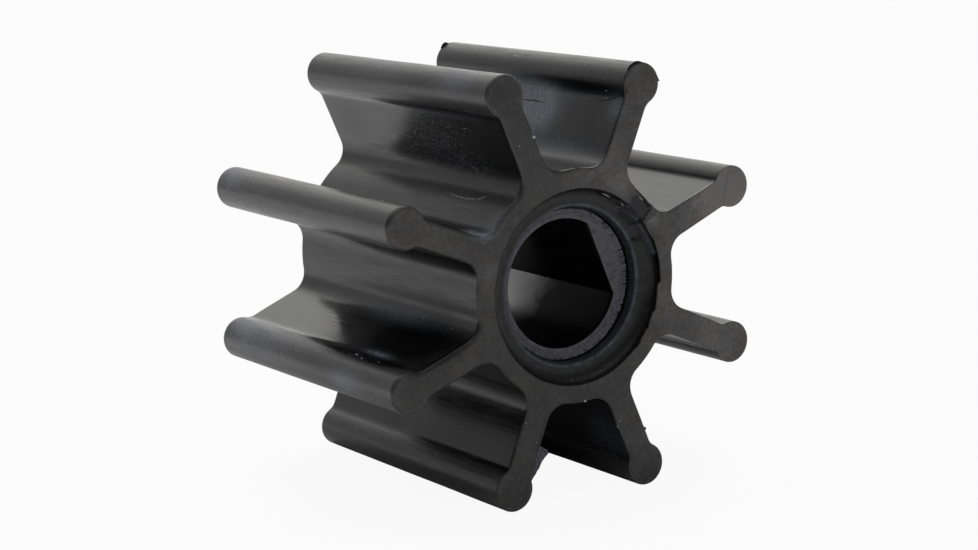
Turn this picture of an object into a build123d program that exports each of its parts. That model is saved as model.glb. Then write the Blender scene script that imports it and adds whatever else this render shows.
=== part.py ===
"""Flexible-vane impeller of a raw-water pump: a moulded rubber body on a D-bored drive insert.

The shaft axis runs along Y, the front end faces -Y and +Z is up. The origin is the middle of the
bore at mid-length. The gap between two vanes points straight down, so the impeller stands on the
two round vane tips beside it. Angles are seen from the front: 0 is +X and 90 is +Z.
"""
from build123d import *
import os
from math import cos, radians, sin, sqrt

# Rubber body, in millimetres
LENGTH = 42.6
VANE_COUNT = 8
VANE_PITCH = 360 / VANE_COUNT
FIRST_VANE_ANGLE = VANE_PITCH / 2
TIP_CENTRE_RADIUS = 25.92
TIP_BULB_RADIUS = 2.65
HUB_RADIUS = 14.5
WEB_ROOT_THICKNESS = 3.6
WEB_NECK_THICKNESS = 3.45
ROOT_FILLET = 2.65
NECK_FILLET = 1.0

# Dished recess in each end of the hub, in millimetres
RECESS_RADIUS = 12.1
RECESS_DEPTH = 1.5
RECESS_FILLET = 1.2
LIP_RADIUS = 9.7
LIP_CHAMFER = 0.3
INSERT_FACE_DEPTH = 3.16

# Drive insert, in millimetres
INSERT_LENGTH = LENGTH - 2 * INSERT_FACE_DEPTH
INSERT_RADIUS = 11.2
GRIP_GROOVE_COUNT = 12
GRIP_GROOVE_RADIUS = 0.8
BORE_RADIUS = 8.0
FLAT_DISTANCE = 6.26
FLAT_ANGLE = FIRST_VANE_ANGLE
BORE_EDGE_CHAMFER = 0.15

# Vertices of the sections are told apart by their distance from the axis
NECK_DISTANCE = TIP_CENTRE_RADIUS - TIP_BULB_RADIUS


def web_corners():
    """Corners of one tapered web along +X, from inside the hub to the centre of the tip."""
    taper = (WEB_ROOT_THICKNESS - WEB_NECK_THICKNESS) / 2 / (NECK_DISTANCE - HUB_RADIUS)
    inner = HUB_RADIUS / 2
    half_inner = WEB_ROOT_THICKNESS / 2 + taper * (HUB_RADIUS - inner)
    half_outer = WEB_NECK_THICKNESS / 2 - taper * (TIP_CENTRE_RADIUS - NECK_DISTANCE)
    return [
        (inner, -half_inner),
        (TIP_CENTRE_RADIUS, -half_outer),
        (TIP_CENTRE_RADIUS, half_outer),
        (inner, half_inner),
    ]


def axis_distance(vertex):
    """Distance of a vertex from the shaft axis."""
    return sqrt(vertex.X**2 + vertex.Z**2)


def star_section():
    """Section of the rubber across the axis: hub, webs and round tips, with filleted corners."""
    with BuildSketch(Plane.XZ) as section:
        Circle(HUB_RADIUS)
        with PolarLocations(0, VANE_COUNT, start_angle=FIRST_VANE_ANGLE):
            Polygon(*web_corners(), align=None)
        with PolarLocations(TIP_CENTRE_RADIUS, VANE_COUNT, start_angle=FIRST_VANE_ANGLE):
            Circle(TIP_BULB_RADIUS)
        roots = section.vertices().filter_by(lambda vertex: axis_distance(vertex) < NECK_DISTANCE)
        fillet(roots, ROOT_FILLET)
        necks = section.vertices().filter_by(lambda vertex: axis_distance(vertex) > NECK_DISTANCE)
        fillet(necks, NECK_FILLET)
    return section.sketch


def end_recess(outward):
    """Space in one end of the hub: a shallow dished recess, then a hole on to the insert."""
    face = outward * LENGTH / 2

    def at(radius, depth):
        return (radius, face - outward * depth)

    wall_end = at(RECESS_RADIUS, RECESS_DEPTH - RECESS_FILLET)
    floor_start = at(RECESS_RADIUS - RECESS_FILLET, RECESS_DEPTH)
    floor_end = at(LIP_RADIUS + LIP_CHAMFER, RECESS_DEPTH)
    lip_start = at(LIP_RADIUS, RECESS_DEPTH + LIP_CHAMFER)
    insert_rim = at(LIP_RADIUS, INSERT_FACE_DEPTH)
    fillet_middle = at(
        RECESS_RADIUS - RECESS_FILLET * (1 - cos(radians(45))),
        RECESS_DEPTH - RECESS_FILLET * (1 - sin(radians(45))),
    )
    with BuildSketch(Plane.XY) as half_section:
        with BuildLine():
            Polyline(at(0, 0), at(RECESS_RADIUS, 0), wall_end)
            ThreePointArc(wall_end, fillet_middle, floor_start)
            Polyline(floor_start, floor_end, lip_start, insert_rim, at(0, INSERT_FACE_DEPTH), at(0, 0))
        make_face()
    return revolve(half_section.sketch, axis=Axis.Y)


def insert_blank():
    """Outer form of the insert: a cylinder with half-round grooves along it that hold the rubber."""
    with BuildSketch(Plane.XZ) as section:
        Circle(INSERT_RADIUS)
        with PolarLocations(INSERT_RADIUS, GRIP_GROOVE_COUNT):
            Circle(GRIP_GROOVE_RADIUS, mode=Mode.SUBTRACT)
    return extrude(section.sketch, amount=INSERT_LENGTH / 2, both=True)


def d_bore():
    """Shaft hole: a round bore cut short by one flat, with its edges broken at both ends."""
    with BuildSketch(Plane.XZ) as section:
        Circle(BORE_RADIUS)
        with Locations(Rotation(0, 0, FLAT_ANGLE) * Pos(FLAT_DISTANCE + BORE_RADIUS, 0)):
            Rectangle(2 * BORE_RADIUS, 4 * BORE_RADIUS, mode=Mode.SUBTRACT)
    return extrude(section.sketch, amount=INSERT_LENGTH / 2, both=True)


def rubber_impeller():
    """Moulded rubber: the star section pressed to length, hollow where the insert and shaft go."""
    body = extrude(star_section(), amount=LENGTH / 2, both=True)
    body -= insert_blank()
    body -= end_recess(outward=-1)
    body -= end_recess(outward=1)
    return body


def drive_insert():
    """Hard insert that the rubber is moulded round, driven by the flat in its bore."""
    insert = insert_blank() - d_bore()
    ends = insert.faces().sort_by(Axis.Y)
    rims = [ends[0].inner_wires()[0], ends[-1].inner_wires()[0]]
    return chamfer([edge for rim in rims for edge in rim.edges()], BORE_EDGE_CHAMFER)


def main():
    os.makedirs("parts", exist_ok=True)
    parts = {"rubber_impeller": rubber_impeller(), "drive_insert": drive_insert()}
    for name, part in parts.items():
        export_step(part, f"parts/{name}.step")


main()
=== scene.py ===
"""Look of the flexible-vane pump impeller: black moulded rubber on a hard D-bored insert.

Sizes are in millimetres and turn into metres only when a mesh is made. The shaft axis is Y and the
front is -Y. Angles are in degrees seen from the front: 0 is +X and 90 is +Z. A place on a vane is
given by the vane's angle, its distance out from the shaft, its distance to the side
(counter-clockwise is positive) and y.
"""
import bpy
import itertools
import random
import numpy as np
from math import atan2, cos, hypot, pi, radians, sin, sqrt
from mathutils import Matrix, Vector, geometry, noise


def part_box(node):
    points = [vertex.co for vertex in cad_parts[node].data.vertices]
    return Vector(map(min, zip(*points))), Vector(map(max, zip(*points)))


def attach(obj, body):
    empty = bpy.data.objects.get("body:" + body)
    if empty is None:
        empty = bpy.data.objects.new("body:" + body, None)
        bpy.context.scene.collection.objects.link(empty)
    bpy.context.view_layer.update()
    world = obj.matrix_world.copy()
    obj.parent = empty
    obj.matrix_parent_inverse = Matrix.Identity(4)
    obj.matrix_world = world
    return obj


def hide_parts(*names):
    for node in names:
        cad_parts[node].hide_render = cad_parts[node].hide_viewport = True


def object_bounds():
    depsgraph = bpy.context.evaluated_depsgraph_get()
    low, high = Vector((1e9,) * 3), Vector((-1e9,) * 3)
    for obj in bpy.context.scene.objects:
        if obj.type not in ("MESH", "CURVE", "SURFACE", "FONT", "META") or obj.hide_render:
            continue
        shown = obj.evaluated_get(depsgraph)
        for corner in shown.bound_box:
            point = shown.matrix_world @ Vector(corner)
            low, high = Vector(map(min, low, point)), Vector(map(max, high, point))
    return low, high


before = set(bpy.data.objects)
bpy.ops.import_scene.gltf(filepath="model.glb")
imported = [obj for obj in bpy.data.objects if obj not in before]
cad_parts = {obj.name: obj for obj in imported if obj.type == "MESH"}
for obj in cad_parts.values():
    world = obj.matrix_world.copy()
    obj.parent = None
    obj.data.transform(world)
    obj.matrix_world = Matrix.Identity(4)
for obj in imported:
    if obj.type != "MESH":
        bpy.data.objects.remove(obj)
cad_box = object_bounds()

MM = 0.001

# Rubber body
HALF_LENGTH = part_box("rubber_impeller")[1][1] / MM
TIP_CENTRE = 25.92
TIP_BULB = 2.65
HUB = 14.5
WEB_ROOT = 3.6
WEB_NECK = 3.45
ROOT_FILLET = 2.65
VALLEY_HALF_ANGLE = 22.5

# Each vane: angle, lean in degrees at the front and at the rear, extra reach, and neck fillet on its
# clockwise and on its other side. Moulded rubber is never quite even
VANES = (
    (22.5, 0.05, 0.05, 0.02, 1, 1),
    (67.5, -0.2, -0.2, 0, 1.9, 2.4),
    (112.5, 0.2, 0.39, -0.02, 1.8, 1.6),
    (157.5, 0.4, -0.09, 0.09, 1.6, 1.5),
    (202.5, -0.5, -0.12, 0.05, 2.2, 1.5),
    (247.5, 0.21, 0.18, -0.05, 1.8, 1.2),
    (292.5, 0.26, 0.26, 0, 1, 1.3),
    (337.5, -0.41, -0.41, 0.07, 1, 1),
)

# Rounding of the front edges: crisp on one side of the impeller, worn soft on the other
CRISP_EDGE = 0.14
WORN_EDGE = 0.42
WORN_SIDE = 165
REAR_EDGE = 0.16

# Recess in each hub end
RECESS = 12.1
DISH_DEPTH = 1.5
DISH_REACH = 1.5
CREST_ROUND = 0.3
LIP = 9.7
LIP_FOOT = 9.48
LIP_FOOT_DEPTH = 2.5
HOLLOW_DEPTH = 3.2
RECESS_CENTRE = (0.1, -0.1)
SLIT_WIDTH = 0.34
SLIT_DEPTH = 0.9

# Insert
INSERT_RADIUS = 11.2
GROOVE_COUNT = 12
GROOVE_RADIUS = 0.8
SHOULDER_DEPTH = 3.25
RIM = 9.36
RIM_DEPTH = 2.66
BORE_DEPTH = 3.3
BORE = 8.0
FLAT = 6.26
FLAT_ANGLE = 22.5
BORE_EDGE = 0.12
BORE_CENTRE = (0.0, -0.08)

# Mesh density
RUBBER_RING_STEPS = 600
INSERT_RING_STEPS = 1080
FLANK_STEP = 0.68
FRONT_GRAIN = 0.38
TORN_GRAIN = 0.17
REAR_GRAIN = 0.8
BORE_STEPS = 24
SPOTS_AT_ONCE = 2000


def smooth(low, high, value):
    """0 below low, 1 above high, with an even ramp between."""
    t = np.clip((np.asarray(value, float) - low) / (high - low), 0, 1)
    return t * t * (3 - 2 * t)


def band(low, high, edge, value):
    """1 between low and high, falling to 0 over edge on both sides."""
    return smooth(low - edge, low, value) * (1 - smooth(high, high + edge, value))


def turned(angle):
    """The same angle between -180 and 180."""
    return (np.asarray(angle, float) + 180) % 360 - 180


def wander(points, scale, seed=0.0):
    """Smooth noise between about -1 and 1 at each point, with features about scale long."""
    offset = Vector((seed, seed * 1.7, -seed * 0.6))
    return np.array([noise.noise(Vector(p) / scale + offset) for p in points])


# ---------------- section of the rubber

def arc(centre, start, end, steps):
    """Points along the shorter arc from start to end, without the end."""
    start, end = np.subtract(start, centre), np.subtract(end, centre)
    a0, a1 = atan2(*start[::-1]), atan2(*end[::-1])
    turn = (a1 - a0 + pi) % (2 * pi) - pi
    radius = np.hypot(*start)
    angles = a0 + turn * np.arange(steps) / steps
    return [centre + radius * np.array((cos(a), sin(a))) for a in angles]


def line(start, end, steps):
    """Points along a line, without the end."""
    start, end = np.array(start), np.array(end)
    return [start + (end - start) * i / steps for i in range(steps)]


def fillet_centre(side, taper, middle, reach, sign):
    """(sideways, outward) point beside a tapered web, at a reach from a point on the vane's middle line."""
    a, b, c = 1 + taper**2, -2 * (middle + side * taper), middle**2 + side**2 - reach**2
    out = (-b + sign * sqrt(b * b - 4 * a * c)) / (2 * a)
    return np.array((side - taper * out, out))


def beside(turn, out, side):
    """(x, z) of a place beside a vane's middle plane, which stands at turn in radians."""
    return out * np.cos(turn) - side * np.sin(turn), out * np.sin(turn) + side * np.cos(turn)


def half_vane(neck_fillet):
    """One side of a vane as (sideways, outward) points, from mid-valley up to the tip."""
    taper = (WEB_ROOT - WEB_NECK) / 2 / (TIP_CENTRE - TIP_BULB - HUB)
    slant = hypot(1, taper)
    foot = WEB_ROOT / 2 + taper * HUB
    reach = TIP_BULB + neck_fillet
    root = fillet_centre(foot + ROOT_FILLET * slant, taper, 0, HUB + ROOT_FILLET, 1)
    neck = fillet_centre(foot + neck_fillet * slant, taper, TIP_CENTRE, reach, -1)

    inward = -np.array((1, taper)) / slant
    bulb = np.array((0, TIP_CENTRE))
    half = radians(VALLEY_HALF_ANGLE)
    valley = HUB * np.array((sin(half), cos(half)))
    on_hub = root * HUB / np.hypot(*root)
    on_bulb = bulb + (neck - bulb) * TIP_BULB / reach
    web_low = root + inward * ROOT_FILLET
    web_high = neck + inward * neck_fillet
    points = arc((0, 0), valley, on_hub, 4)
    points += arc(root, on_hub, web_low, 8)
    points += line(web_low, web_high, 10)
    points += arc(neck, web_high, on_bulb, 5)
    points += arc(bulb, on_bulb, (0, TIP_CENTRE + TIP_BULB), 14)
    return np.array(points)


class Outline:
    """The star-shaped section, counter-clockwise from the front, bent a little along the shaft."""

    def __init__(self):
        rows = []
        for axis, front_lean, rear_lean, reach, clockwise_neck, other_neck in VANES:
            up = half_vane(clockwise_neck) * (-1, 1)
            down = np.vstack([[(0, TIP_CENTRE + TIP_BULB)], half_vane(other_neck)[:0:-1]])
            for side, out in np.vstack([up, down]):
                bend = float(smooth(HUB, TIP_CENTRE, out))
                rows.append((side, out + reach * bend, axis, front_lean * bend, rear_lean * bend))
        self.side, self.out, self.axis, self.front_lean, self.rear_lean = np.array(rows).T
        polar = np.radians(self.axis) + np.arctan2(self.side, self.out)
        facing = (1 + np.cos(polar - radians(WORN_SIDE))) / 2
        self.front_edge = CRISP_EDGE + WORN_EDGE * facing**1.5
        self.bulb = smooth(TIP_CENTRE - 2.2, TIP_CENTRE - 1.2, self.out)
        self.root = 1 - smooth(HUB + 0.8, HUB + 3.5, self.out)

    def at(self, along):
        """(x, z) points and outward normals, where along runs from 0 at the front to 1 at the rear."""
        t = np.radians(self.axis + self.front_lean * (1 - along) + self.rear_lean * along)
        xz = np.column_stack(beside(t, self.out, self.side))
        tangent = np.roll(xz, -1, 0) - np.roll(xz, 1, 0)
        normal = np.column_stack([tangent[:, 1], -tangent[:, 0]])
        return xz, normal / np.linalg.norm(normal, axis=1)[:, None]

    def skin(self, axis, out, side_sign, y):
        """Place and outward normal on a vane's side at a distance out and y, as 3D vectors."""
        along = (y / HALF_LENGTH + 1) / 2
        xz, normal = self.at(along)
        near = (self.axis == axis % 360) & (self.side * side_sign >= 0)
        picks = np.flatnonzero(near)
        picks = picks[np.argsort(self.out[picks])]
        place = [np.interp(out, self.out[picks], xz[picks, k]) for k in (0, 1)]
        facing = [np.interp(out, self.out[picks], normal[picks, k]) for k in (0, 1)]
        return Vector((place[0], y, place[1])), Vector((facing[0], 0, facing[1])).normalized()


outline = Outline()


# ---------------- wear, as values on the mesh

# Pale bloom and painted highlights on each vane's side: patches as distance out, y, reach outward, reach
# along and strength
BLOOM_AND_HIGHLIGHT = {
    (67.5, 1): (
        (22.6, 0, 2.2, 4.8, 2.2), (20.4, -4.5, 2.6, 3.4, 1.2), (23.4, -9, 0.8, 8, 0.14),
        (22.2, -20, 1.4, 1.6, 0.35), (16.4, -9, 1.3, 9, 0.4),
    ),
    (112.5, 1): (
        (23.4, -6, 0.45, 9, 0.25), (19.5, -4, 3, 7, 0.06), (16.6, 0, 1.2, 15, 0.06),
        (22.5, 9, 3, 9, 0.08), (28.5, 6, 1.5, 5, 0.2), (28, -14, 1, 4, 0.3),
    ),
    (202.5, -1): (
        (23.1, -10.5, 0.45, 2.8, 1.1), (15.9, -4, 1, 8, 0.55), (19, -4, 2.4, 4, 0.04),
        (26.3, 17, 1.6, 2.5, 0.8), (25.6, 8, 0.7, 4, 0.5), (27, 12, 2, 7, 0.4),
        (28.5, -10, 0.9, 3.4, 0.55),
    ),
    (292.5, -1): ((21, -17, 3.5, 4.5, 0.2), (23.3, -10, 0.3, 6, 0.12)),
    (157.5, -1): ((28.4, 18, 1.5, 2.5, 0.5), (15.6, -20.6, 1.8, 1, 0.5), (15.4, -18.6, 0.55, 2.4, 1.2)),
    (157.5, 1): ((15, 4, 1.5, 14, 0.12),),
    (337.5, -1): ((22, 0, 5, 20, 0.25),),
}

# Painted shade on the vanes' sides, under the bulbs and in the pockets between vanes, where they are drawn
# darker and duller than the rest: the same values
PAINTED_SHADE = {
    (202.5, -1): ((24.8, -10, 1.2, 9.5, 1.6), (19.5, -12, 4.2, 9, 1.5)),
    (112.5, 1): ((24.3, -8, 0.7, 9, 0.5), (20, 15, 5, 8, 0.35)),
    (67.5, 1): ((24.45, -8.5, 0.6, 13, 1.2), (23.7, -12.5, 0.6, 6.5, 0.5)),
    (247.5, 1): ((18, -12, 6, 10, 0.7),),
    (292.5, -1): ((16.5, -12, 2, 10, 0.5), (26, 0, 3.5, 14, 0.9), (19.5, -6, 5, 9, 0.5)),
}

# Fine pale grit: the same values
GRIT = {
    (112.5, 1): ((19.6, -1.5, 3.6, 8, 1), (16.6, -9.5, 1.4, 5, 0.9)),
    (67.5, 1): ((22.4, -1, 3.2, 5, 1.3),),
    (157.5, -1): ((26.5, 17, 3, 6, 0.7), (15.2, -6, 3, 9, 0.45)),
    (202.5, -1): ((27, 10, 3, 12, 0.5), (24.6, -9.5, 1.2, 3, 0.9)),
}


def patches(table, axis, side, out, y):
    """Strength of a table of soft patches at points of the vanes."""
    total = np.zeros(len(axis))
    for (vane, sign), spots in table.items():
        here = (axis == vane) * (side * sign >= 0)
        for spot_out, spot_y, reach_out, reach_along, strength in spots:
            away = ((out - spot_out) / reach_out) ** 2 + ((y - spot_y) / reach_along) ** 2
            total += strength * np.exp(-away) * here
    return np.clip(total, 0, 1)


# Outline (x, z) of the torn, glossy patch on the front hub face between two vanes
SCAR = (
    (8.2, 10.3), (8.9, 10.4), (9.7, 10.15), (10.2, 9.7), (10.8, 9.2), (11.4, 8.4), (10.9, 8), (10.5, 7.6),
    (9.9, 7.2), (9.4, 7.1), (8.9, 7.6), (8.1, 8.2), (7.5, 8.75), (7.5, 9.4), (7.9, 9.9),
)


def path_distance(x, z, path):
    """Distance of points from a path of (x, z) places."""
    away = np.full(len(x), 99)
    for (x0, z0), (x1, z1) in zip(path, path[1:]):
        dx, dz = x1 - x0, z1 - z0
        share = np.clip(((x - x0) * dx + (z - z0) * dz) / (dx**2 + dz**2), 0, 1)
        away = np.minimum(away, np.hypot(x - x0 - share * dx, z - z0 - share * dz))
    return away


def near_path(x, z, path, width):
    """1 on a path of (x, z) places, falling to 0 within about its width."""
    return np.exp(-((path_distance(x, z, path) / width) ** 2))


def scar(x, z):
    """1 inside the torn patch, with a ragged edge."""
    away = path_distance(x, z, (*SCAR, SCAR[0]))
    within = inside(np.column_stack([x, z]), np.array(SCAR))
    ragged = 0.12 * wander(np.column_stack([x, 0 * x, z]), 0.5, 7)
    return smooth(-0.06, 0.12, np.where(within, away, -away) + ragged)


# Lip of the recess that has come away from the hub
TORN_LIP = ((9.4, 7.4), (9.85, 6.6), (10.55, 5.5), (11.1, 4.5), (11.5, 3.6), (11.75, 2.7))

# Ridges and grooves of the torn rubber at the front: width, height above the skin, places (x, z)
TEARS = (
    (0.14, 0.16, ((4.3, 10.95), (5.6, 10.3))),
    (0.12, -0.18, ((4, 10.85), (5.4, 10.15))),
    (0.14, -0.22, ((4.9, 11), (6.1, 10.45), (6.4, 10.1), (7.6, 9.4))),
    (0.2, 0.22, ((7.1, 9.5), (7.8, 8.9))),
    (0.17, -0.6, ((9.7, 7.2), (9.8, 6.9), (9.75, 6.6))),
    (0.22, 0.22, TORN_LIP),
    (0.16, -0.2, ((9.5, 4.75), (10.9, 4.5))),
    (0.25, 0.08, ((9.3, 3.9), (9.7, 5.6), (9.2, 7.2))),
    (0.35, 0.14, ((10.5, 7), (11.9, 7.6))),
    (0.16, 0.16, ((9.4, 10.1), (10.05, 9.55))),
    (0.18, -0.6, ((9.67, 10.15), (10.17, 9.8), (10.67, 9.34), (10.85, 9.1))),
    (0.2, 0.07, ((8.1, 10.35), (8, 9.7), (7.6, 9.2))),
)


def worn_dish(x, z):
    """1 where the scar runs down into the recess."""
    angle = np.degrees(np.arctan2(z, x))
    radius = np.hypot(x, z)
    ragged = wander(np.column_stack([x, 0 * x, z]), 0.9, 17)
    return band(37, 51, 2, angle + 3 * ragged) * band(11.2, 12.9, 0.5, radius + 0.2 * ragged)


def end_relief(x, z, end):
    """How far points of an end face stand proud of flat."""
    points = np.column_stack([x, np.full(len(x), 30.0 * end), z])
    relief = 0.022 * wander(points, 5) + 0.01 * wander(points, 1.5, 3)
    if end < 0:
        relief -= 0.11 * scar(x, z)
        for width, height, path in TEARS:
            relief += height * near_path(x, z, path, width)
    return relief


# How far back from the front the chipped edge below runs out
CHIP_REACH = 3


def chip(x, z):
    """How far the front edge is broken back where the scar meets the valley between two vanes."""
    angle = np.degrees(np.arctan2(z, x))
    return 0.4 * band(39.5, 50.5, 1.2, angle) * band(13.95, 14.9, 0.35, np.hypot(x, z))


# Grey film on the front faces: (x, z, reach, strength) on top of a thin even film
FILM_EVEN = 0.50
FILM = (
    (23, 9.3, 5.5, 2.3), (14.5, 4, 4.5, 0.3), (4, 14, 4.5, 0.62), (11.5, 6.9, 0.9, 0.9),
    (7, 11.9, 1.6, 0.9), (10.5, 21, 5, 0.34), (-9.5, 23, 5, -0.12), (-9.5, -22, 5, 0.15),
    (-12.8, 3.2, 1, 0.5), (-13, 3, 4, 0.2), (-22, 9, 5, 0.28), (21.5, -8.5, 5.5, 1),
    (13.5, -4, 3.5, 0.4), (9.5, -22, 5, 0.25), (0, -13.5, 4, -0.1),
)


def end_film(x, z):
    """Strength of the grey film on the front faces."""
    level = FILM_EVEN
    for spot_x, spot_z, reach, strength in FILM:
        level = level + strength * np.exp(-((x - spot_x) ** 2 + (z - spot_z) ** 2) / reach**2)
    blotches = 1 + 0.16 * wander(np.column_stack([x, 0 * x, z]), 2.4, 9)
    return np.clip(level * blotches - 0.8 * scar(x, z), 0, 3)


# ---------------- mesh assembly

class MeshMaker:
    """Collects the vertices, faces and wear values of one piece."""

    # One wear value holds painted shade in gaps, cracks, the tear and shaded pockets, with the duller torn
    # rubber; another holds bloom and painted highlights
    LAYERS = ("end", "dish", "bulb", "root", "film", "bloom", "grit", "scar", "crack", "flat", "deep")

    def __init__(self):
        self.points = []
        self.layers = {name: [] for name in self.LAYERS}
        self.faces = []
        self.materials = []
        self.count = 0
        self.material = 0

    def add(self, xyz, **values):
        """Adds vertices with their wear values and returns their numbers."""
        xyz = np.asarray(xyz, float)
        for name in self.LAYERS:
            self.layers[name].append(np.broadcast_to(values.get(name, 0), len(xyz)))
        self.points.append(xyz)
        self.count += len(xyz)
        return np.arange(self.count - len(xyz), self.count)

    def face(self, corners):
        self.faces.append([int(c) for c in corners])
        self.materials.append(self.material)

    def bridge(self, ring_a, ring_b, flip=False):
        """Quads between two closed rings of the same length."""
        a, b = np.asarray(ring_a), np.asarray(ring_b)
        quads = np.column_stack([a, np.roll(a, -1), np.roll(b, -1), b])
        if flip:
            quads = quads[:, ::-1]
        self.faces.extend(quads.tolist())
        self.materials.extend([self.material] * len(quads))

    def sheet(self, rings, flip=False):
        """Quads along a row of closed rings."""
        for a, b in zip(rings, rings[1:]):
            self.bridge(a, b, flip)

    def object(self, name, materials, sharp=50):
        """The finished Blender object, smooth except where it turns by more than sharp degrees."""
        mesh = bpy.data.meshes.new(name)
        mesh.from_pydata((np.vstack(self.points) * MM).tolist(), [], self.faces)
        for material in materials:
            mesh.materials.append(material)
        mesh.polygons.foreach_set("material_index", self.materials)
        for layer, values in self.layers.items():
            attribute = mesh.attributes.new(layer, "FLOAT", "POINT")
            attribute.data.foreach_set("value", np.concatenate(values).astype(np.float32))
        mesh.shade_smooth()
        mesh.set_sharp_from_angle(angle=radians(sharp))
        piece = bpy.data.objects.new(name, mesh)
        bpy.context.scene.collection.objects.link(piece)
        return piece


def ring(radius, y, angles, centre=(0.0, 0)):
    """Circle of points round the shaft axis; radius and y may vary along it."""
    t = np.radians(angles)
    x, z = centre[0] + radius * np.cos(t), centre[1] + radius * np.sin(t)
    return np.column_stack(np.broadcast_arrays(x, y, z))


def grooved_radius(angles):
    """Outer radius of the insert at each angle: round, with half-round grooves along it."""
    turn = np.radians(turned(angles * GROOVE_COUNT) / GROOVE_COUNT)
    across = INSERT_RADIUS * np.sin(turn)
    deep = np.sqrt(np.clip(GROOVE_RADIUS**2 - across**2, 0, None))
    groove = INSERT_RADIUS * np.cos(turn) - deep
    return np.where(np.abs(across) < GROOVE_RADIUS, groove, INSERT_RADIUS)


def bore_radius(angles, grow=0.0):
    """Radius of the D bore at each angle, grown outward by grow."""
    turn = np.radians(turned(angles - FLAT_ANGLE))
    flat = np.where(np.cos(turn) > 0.1, (FLAT + grow) / np.maximum(np.cos(turn), 0.1), 99)
    return np.minimum(BORE + grow, flat)


def slit(angles, end):
    """How open the tear along the front recess edge is at each angle, from 0 to 1."""
    if end > 0:
        return 0 * angles
    turn = turned(angles)
    long_tear = smooth(-5.5, -3.5, turn) * (1 - smooth(21, 28, turn)) * (1 - 0.25 * smooth(4, 20, turn))
    short_tear = 0.75 * band(-20, -17, 3, turn)
    nicks = 0.4 * band(-58, -12, 6, turn) * smooth(-0.2, 0.35, wander(ring(4.0, 0, angles), 0.5, 4))
    open_share = np.maximum.reduce([long_tear, short_tear, nicks])
    return open_share * (1 + 0.22 * wander(ring(12.0, 0, angles), 0.35, 2))


# Rows of the recess edge: distance outside RECESS, shares of the tear's width and depth to add, depth,
# extra depth where worn, and dish value
RECESS_EDGE = (
    (0.5, 0, 0, 0, 0.04, 0),
    (0.3, 0.6, 0, 0, 0.08, 0),
    (0.16, 1, 0, 0, 0.12, 0),
    (0.05, 1, 0, 0.01, 0.16, 0),
    (0.04, 1, 0.7, 0.04, 0.15, 0.3),
    (0.03, 0.55, 1, 0.06, 0.13, 1),
    (0.02, 0.05, 0.6, 0.08, 0.12, 1),
)
STEEP_WALL_TOP = 0.12
WORN_WALL_TOP = 0.22

# From the crest down to the insert: radius, depth, bloom and painted highlight, and painted shade, which is
# full in the gap at the foot of the lip
LIP_ROWS = (
    (LIP - 0.05, 1.95, 0.12, 0),
    (LIP - 0.12, 2.2, 0.14, 0),
    (LIP_FOOT, LIP_FOOT_DEPTH, 0.05, 0),
    (LIP_FOOT + 0.02, 2.8, 0, 1),
    (LIP_FOOT + 0.02, HOLLOW_DEPTH, 0, 1),
)


def recess_rows(end, angles):
    """(radius, depth, dish value, bloom and painted highlight, painted shade) rows from the hub face down
    the recess to the insert.
    """
    away = np.abs(turned(angles))
    tear = slit(angles, end)
    width, depth = SLIT_WIDTH * tear, SLIT_DEPTH * tear
    worn = band(38, 50, 2.5, turned(angles)) * (end < 0)
    # Painted shade on the recess edge: a painted shadow along the left side, where the near wall hides the
    # dish, a little on the right side, and painted shade down the tear
    right_edge_shade = 0.3 * (1 - smooth(60, 100, away))
    left = smooth(95, 150, away)
    painted_shade_rows = (0, 0, 0.3 * left, np.maximum(0.5 * tear, 0.8 * left), tear, np.maximum(tear, right_edge_shade), tear)
    rows = [
        (RECESS + out + wider * width, low + deeper * depth + sunk * worn, dish, 0, crack)
        for (out, wider, deeper, low, sunk, dish), crack in zip(RECESS_EDGE, painted_shade_rows)
    ]
    quarter = np.linspace(0, pi / 2, 10)
    for a in quarter:
        inward = 1 - cos(a)
        steep = STEEP_WALL_TOP + (DISH_DEPTH - STEEP_WALL_TOP) * sin(a)
        sloping = WORN_WALL_TOP + (DISH_DEPTH - WORN_WALL_TOP) * (0.75 * inward + 0.25 * inward**2)
        fall = steep * (1 - worn) + sloping * worn
        rows.append((RECESS - DISH_REACH * inward, fall, 1, 0.02 * sin(a) ** 6, 0))
    patchy = 1 + 0.5 * wander(ring(10.0, 0, angles), 1.2, 21)
    rows += [(10.4, DISH_DEPTH, 1, 0.03 * patchy, 0), (10.15, DISH_DEPTH, 1, 0.08 * patchy, 0)]
    # Painted highlight along the rounded crest of the lip
    for a in quarter[::3]:
        radius, fall = LIP + CREST_ROUND * (1 - sin(a)), CREST_ROUND * (1 - cos(a))
        rows.append((radius, DISH_DEPTH + fall, 1, 0.34 * patchy * cos(0.8 * a), 0))
    rows += [(radius, fall, 1, bloom, crack) for radius, fall, bloom, crack in LIP_ROWS]
    # The row against the insert is in full painted shade
    return rows + [(grooved_radius(angles), HOLLOW_DEPTH, 1, 0, 1)]


def inside(spots, polygon):
    """Which (x, z) spots lie inside a closed polygon."""
    x, z = spots[:, 0][:, None], spots[:, 1][:, None]
    x0, z0 = polygon[:, 0], polygon[:, 1]
    x1, z1 = np.roll(x0, -1), np.roll(z0, -1)
    result = np.zeros(len(spots), bool)
    for low in range(0, len(spots), SPOTS_AT_ONCE):
        part = slice(low, low + SPOTS_AT_ONCE)
        xs, zs = x[part], z[part]
        crosses = (z0 > zs) != (z1 > zs)
        at = x0 + (zs - z0) / np.where(z1 == z0, 1e-9, z1 - z0) * (x1 - x0)
        result[part] = (crosses & (xs < at)).sum(1) % 2 == 1
    return result


def honeycomb(step, low, high):
    """Evenly spaced (x, z) spots that fill a square."""
    rows = np.arange(low, high, step * 0.87)
    across = np.arange(low, high, step)
    return np.array([(x + 0.5 * step * (i % 2), z) for i, z in enumerate(rows) for x in across])


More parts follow.
